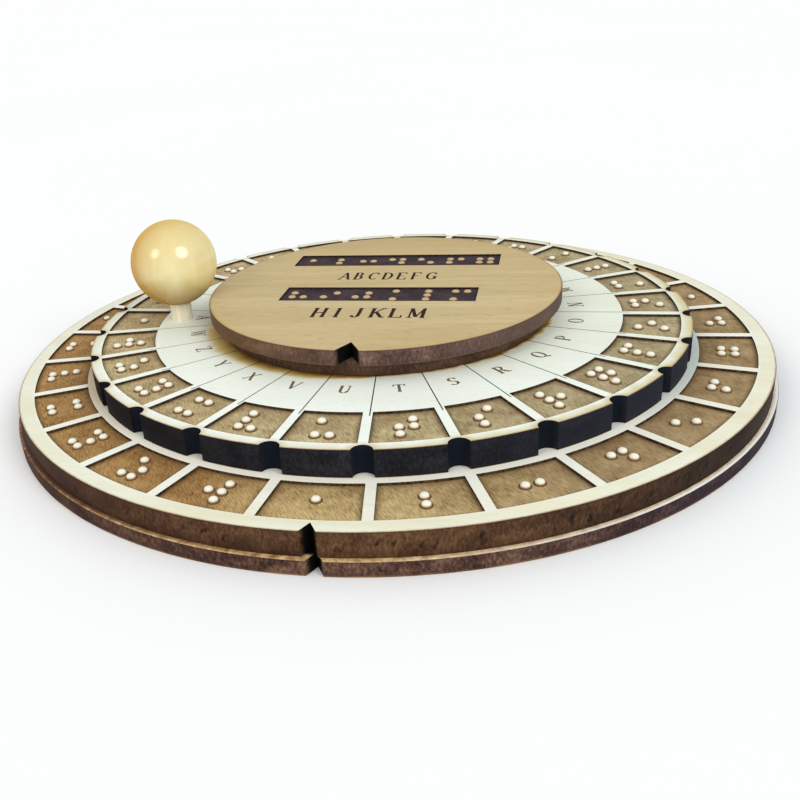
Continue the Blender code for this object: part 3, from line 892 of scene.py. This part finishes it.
def build_middle():
    """The turning disc. Its rim runs just above the outer disc, and a recess below takes the washer."""
    bm = bmesh.new()
    rim_low = OUTER_TOP + RUNNING_GAP
    _, washer_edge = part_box("slip_washer")
    recess = washer_edge.x + 1 * MM
    profile = board_profile(MIDDLE_RADIUS, rim_low, MIDDLE_TOP)
    lathe(bm, [(0.0, MIDDLE_LOW), (recess, MIDDLE_LOW), (recess, rim_low)] + profile[1:], RIM_STEPS)
    middle = make_object(
        "middle_board",
        bm,
        pale_board("middle_face_wood", MIDDLE_RADIUS, (248, 254, 246), (242, 247, 234), halo=True),
        burnt_edge(
            # Near-black char tones, blue-tinted as a painted sheen; the right tone and the finger notches'
            # walls carry more of that painted bluish sheen, and the left tone is painted shade.
            "middle_edge_char", ((22, 22, 27), (35, 35, 41), (50, 49, 54)), rim_low, MIDDLE_TOP,
            MIDDLE_RADIUS, inside=(20, 26, 36), left=(16, 11, 9), right=(40, 42, 52)
        ),
        raster_floor(
            "middle_cell_floor", (126, 107, 72), (188, 170, 127), (226, 210, 167), MIDDLE_CELL, MIDDLE_TURN,
            # Painted shade tints towards -X and +X.
            ((1.0, 0.98, 0.95), (0.87, 0.9, 0.95)),
        ),
        charred("middle_cut_char", (44, 32, 24), (98, 74, 50), MIDDLE_CELL[0] - 0.6 * MM),
        plain_ply("middle_back_wood", *BACK_PLY),
    )
    low = rim_low - 1 * MM
    high = MIDDLE_TOP + 1 * MM
    cuts = bmesh.new()
    put_cells(cuts, MIDDLE_CELL, MIDDLE_TOP)
    inner = SPACER_RADIUS - 3 * MM
    outer = MIDDLE_CELL[0] + 1.4 * MM
    near = SCORE_OFFSET - SCORE_WIDTH / 2
    far = SCORE_OFFSET + SCORE_WIDTH / 2
    for index in range(CELLS):
        turn = cell_angle(index + 0.5)
        x, y = FINGER_NOTCH_RING * cos(turn), FINGER_NOTCH_RING * sin(turn)
        prism(cuts, circle(FINGER_NOTCH_RADIUS, FINGER_NOTCH_STEPS, x, y), low, high)
        groove = [
            (r * cos(turn) - s * sin(turn), r * sin(turn) + s * cos(turn))
            for r, s in ((inner, near), (outer, near), (outer, far), (inner, far))
        ]
        prism(cuts, groove, MIDDLE_TOP - SCORE_DEPTH, high)
    prism(cuts, circle(HUB_RADIUS + 0.3 * MM, BORE_STEPS), low, high)
    carve(middle, cuts)
    letters = bmesh.new()
    for index, letter in enumerate(MIDDLE_ORDER):
        angle = cell_angle(index)

        def place(across, up):
            return radial_place(angle, LETTER_RING, across * LETTER_SIZE[0], up * LETTER_SIZE[1])

        put_letter(letters, letter, place, MIDDLE_TOP)
    carve(middle, letters)
    paint(middle, board_slot(MIDDLE_TOP, MIDDLE_TOP - CELL_DEPTH, MIDDLE_CELL[1] + 0.3 * MM))
    turned(middle, MIDDLE_TURN)
    finish_piece(middle, TURNING, "middle_disc")

    dots = bmesh.new()
    put_ring_dots(dots, MIDDLE_CELL, MIDDLE_TOP, MIDDLE_ORDER)
    wood = braille_wood("middle_dot_wood", MIDDLE_TOP - CELL_DEPTH, DOT_HEIGHT)
    dots = make_object("middle_braille", dots, wood)
    paint(dots, lambda at, normal: 0)
    turned(dots, MIDDLE_TURN)
    finish_piece(dots, TURNING, None)


def build_spacer():
    bm = bmesh.new()
    low = MIDDLE_TOP + SPACER_GAP
    lathe(bm, board_profile(SPACER_RADIUS, low, CAP_LOW), CAP_STEPS)
    spacer = make_object(
        "spacer_board",
        bm,
        plain_ply("spacer_face_wood", (150, 118, 78), (110, 82, 52)),
        burnt_edge(
            "spacer_edge_char", ((60, 43, 34), (86, 64, 52), (108, 84, 68)), low, CAP_LOW, SPACER_RADIUS
        ),
    )
    paint(spacer, lambda at, normal: 0 if abs(normal.z) > 0.8 else 1)
    finish_piece(spacer, FIXED, "cap_spacer")


def build_cap():
    bm = bmesh.new()
    lathe(bm, board_profile(CAP_RADIUS, CAP_LOW, CAP_TOP), CAP_STEPS)
    cap = make_object(
        "cap_board",
        bm,
        cherry_board(),
        burnt_edge(
            "cap_edge_char", ((76, 56, 51), (106, 82, 73), (138, 113, 97)), CAP_LOW, CAP_TOP, CAP_RADIUS,
            # left and right: painted light and shade, golden towards -X and greyer towards +X.
            inside=NOTCH_CHAR_AND_SHADE, left=(106, 78, 42), right=(92, 76, 68)
        ),
        raster_floor("cap_strip_floor", (36, 28, 34), (60, 49, 56), (92, 74, 74), lines=0.0),
        charred("cap_cut_char", (30, 22, 22), (72, 54, 48)),
        plain_ply("cap_back_wood", (190, 160, 112), (160, 128, 84)),
    )
    cuts = bmesh.new()
    put_notch(cuts, CAP_RADIUS, CAP_NOTCH, CAP_LOW, CAP_TOP)
    for length, width, behind in (FAR_STRIP, NEAR_STRIP):
        x, y = length / 2, width / 2
        outline = [(-x, behind - y), (x, behind - y), (x, behind + y), (-x, behind + y)]
        prism(cuts, outline, CAP_TOP - STRIP_DEPTH, CAP_TOP + STRIP_DEPTH)
    carve(cap, cuts)
    words = bmesh.new()
    for text, height, squeeze, base_line, width in LEGENDS:
        for index, letter in enumerate(text):
            middle = ((index + 0.5) / len(text) - 0.5) * width

            def place(across, up):
                return middle + across * height * squeeze, base_line + (up + 0.5) * height

            put_letter(words, letter, place, CAP_TOP)
    carve(cap, words)
    paint(cap, board_slot(CAP_TOP, CAP_TOP - STRIP_DEPTH, CAP_RADIUS - 5 * MM))
    turned(cap, CAP_TURN)
    finish_piece(cap, FIXED, "cap_disc")

    dots = bmesh.new()
    for (length, _, behind), (text, *_) in zip((FAR_STRIP, NEAR_STRIP), LEGENDS):
        for index, letter in enumerate(text):
            middle = ((index + 0.5) / len(text) - 0.5) * length
            for x, y in dot_places(letter):
                profile = dot_profile(CAP_TOP - STRIP_DEPTH, STRIP_DEPTH, DOT_SKIRT / 2)
                lathe(dots, profile, DOT_STEPS, middle + x, behind + y)
    wood = braille_wood("cap_dot_wood", CAP_TOP - STRIP_DEPTH, STRIP_DEPTH, (202, 170, 122), (58, 44, 44))
    dots = make_object("cap_braille", dots, wood)
    paint(dots, lambda at, normal: 0)
    turned(dots, CAP_TURN)
    finish_piece(dots, FIXED, None)


def build_knob():
    """The dowel and the drilled ball on it."""
    low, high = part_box("knob_ball")
    middle = (low + high) / 2
    radius = max(high.z - low.z, high.x - low.x) / 2
    stem_low, stem_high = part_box("knob_stem")
    stem_radius = (stem_high.x - stem_low.x) / 2
    centre_z = high.z - radius
    bore = stem_radius + 0.05 * MM
    bore_end = centre_z + 1 * MM
    start = asin((bore + 0.35 * MM) / radius)
    mouth = centre_z - radius * cos(start) + 0.3 * MM
    profile = [(0.0, bore_end), (bore, bore_end), (bore, mouth)]
    for k in range(BALL_RINGS):
        a = start + (pi - start) * k / BALL_RINGS
        profile.append((radius * sin(a), centre_z - radius * cos(a)))
    profile.append((0.0, centre_z + radius))
    bm = bmesh.new()
    lathe(bm, profile, BALL_STEPS)
    ball = make_object("knob_bead", bm, lacquered_ball(centre_z))
    ball.location = (middle.x, middle.y, 0.0)
    paint(ball, lambda at, normal: 0)
    finish_piece(ball, TURNING, "knob_ball")

    bm = bmesh.new()
    foot = MIDDLE_TOP - 1 * MM
    lathe(bm, board_profile(stem_radius, foot, centre_z, 0.1 * MM, 0.3 * MM), DOWEL_STEPS)
    # Its pale default tones are painted light against the ball's shadow.
    stem = make_object("knob_dowel", bm, dowel_wood("knob_dowel_wood"))
    stem.location = (middle.x, middle.y, 0.0)
    paint(stem, lambda at, normal: 0)
    finish_piece(stem, TURNING, "knob_stem")


def dress_hidden_nodes():
    """Nodes whose shape is right and which hardly show keep their own mesh."""
    looks = {
        "hub_disc": plain_ply("hub_wood", (214, 192, 150), (186, 158, 112)),
        "pivot_dowel": dowel_wood("pivot_dowel_wood"),
        "slip_washer": washer_card(),
    }
    for node, material in looks.items():
        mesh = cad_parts[node].data
        mesh.materials.clear()
        mesh.materials.append(material)


# ---------------------------------------------------------------- studio

SKY_LIGHT = 0.74
FLOOR_WHITE = 0.99


def build_floor():
    bm = bmesh.new()
    bmesh.ops.create_grid(bm, x_segments=1, y_segments=1, size=40.0)
    look = Look("studio_floor_paint", 0.9, 0.0)
    cloud = look.noise(look.place, 3.0, detail=2.0)
    shades = [(FLOOR_WHITE - change,) * 3 + (1.0,) for change in (0.01, 0.0)]
    look.give("Base Color", look.ramp(cloud, (0.3, shades[0]), (0.7, shades[1])))
    floor = make_object("studio_floor", bm, look.material)
    floor.location.z = BASE_LOW - 0.02 * MM


def build_world():
    """Even light from all round, a little cooler from +X. The camera sees it as bright as the floor."""
    world = bpy.data.worlds.new("studio_world")
    bpy.context.scene.world = world
    world.use_nodes = True
    nodes = world.node_tree.nodes
    links = world.node_tree.links
    background = nodes["Background"]
    direction = nodes.new("ShaderNodeSeparateXYZ")
    links.new(nodes.new("ShaderNodeTexCoord").outputs["Generated"], direction.inputs["Vector"])
    side = nodes.new("ShaderNodeMapRange")
    links.new(direction.outputs["X"], side.inputs["Value"])
    side.inputs["From Min"].default_value = 0.1
    tint = nodes.new("ShaderNodeMix")
    tint.data_type = "RGBA"
    links.new(side.outputs["Result"], tint.inputs["Factor"])
    tint.inputs["A"].default_value = (1.0, 0.995, 0.98, 1.0)
    tint.inputs["B"].default_value = (0.78, 0.9, 1.0, 1.0)
    seen = nodes.new("ShaderNodeLightPath").outputs["Is Camera Ray"]
    plain = nodes.new("ShaderNodeMix")
    plain.data_type = "RGBA"
    links.new(seen, plain.inputs["Factor"])
    links.new(tint.outputs["Result"], plain.inputs["A"])
    plain.inputs["B"].default_value = (1.0, 1.0, 1.0, 1.0)
    links.new(plain.outputs["Result"], background.inputs["Color"])
    strength = nodes.new("ShaderNodeMapRange")
    strength.inputs["To Min"].default_value = SKY_LIGHT
    strength.inputs["To Max"].default_value = FLOOR_WHITE
    links.new(seen, strength.inputs["Value"])
    links.new(strength.outputs["Result"], background.inputs["Strength"])


def add_lamp(name, azimuth, elevation, spread, strength):
    """A soft far lamp. The direction it stands in is given in degrees, anticlockwise from +X and up."""
    data = bpy.data.lights.new(name, "SUN")
    data.angle = radians(spread)
    data.energy = strength
    lamp = bpy.data.objects.new(name, data)
    bpy.context.scene.collection.objects.link(lamp)
    a, e = radians(azimuth), radians(elevation)
    towards = Vector((cos(a) * cos(e), sin(a) * cos(e), sin(e)))
    lamp.location = towards
    lamp.rotation_euler = (-towards).to_track_quat("-Z", "Y").to_euler()


CAMERA_PLACE = Vector((30.1 * MM, -177.7 * MM, 76.6 * MM))
CAMERA_HEADING = 0.22625  # in radians, anticlockwise from +Y
CAMERA_PITCH = 0.4393  # in radians, downwards
CAMERA_ROLL = -0.0814  # in radians
CAMERA_LENS = 40.33  # in millimetres, on a sensor 36 mm wide
CAMERA_SHIFT = 0.072


def build_camera():
    data = bpy.data.cameras.new("studio_camera")
    data.lens = CAMERA_LENS
    data.sensor_width = 36.0
    data.shift_x = CAMERA_SHIFT
    data.clip_start = 1 * MM
    data.clip_end = 50.0
    camera = bpy.data.objects.new("studio_camera", data)
    bpy.context.scene.collection.objects.link(camera)
    ahead = Vector((
        -sin(CAMERA_HEADING) * cos(CAMERA_PITCH), cos(CAMERA_HEADING) * cos(CAMERA_PITCH), -sin(CAMERA_PITCH)
    ))
    level = Vector((cos(CAMERA_HEADING), sin(CAMERA_HEADING), 0.0))
    above = level.cross(ahead)
    right = level * cos(CAMERA_ROLL) + above * sin(CAMERA_ROLL)
    up = above * cos(CAMERA_ROLL) - level * sin(CAMERA_ROLL)
    turn = Matrix((right, up, -ahead)).transposed()
    camera.matrix_world = Matrix.Translation(CAMERA_PLACE) @ turn.to_4x4()
    bpy.context.scene.camera = camera


build_base()
build_outer()
build_middle()
build_spacer()
build_cap()
build_knob()
dress_hidden_nodes()

build_floor()
build_world()
add_lamp("key", -37.5, 37.5, 30.0, 1.08)
add_lamp("left_fill", -127.0, 35.5, 22.0, 0.42)
build_camera()
bpy.context.scene.view_settings.view_transform = "Standard"
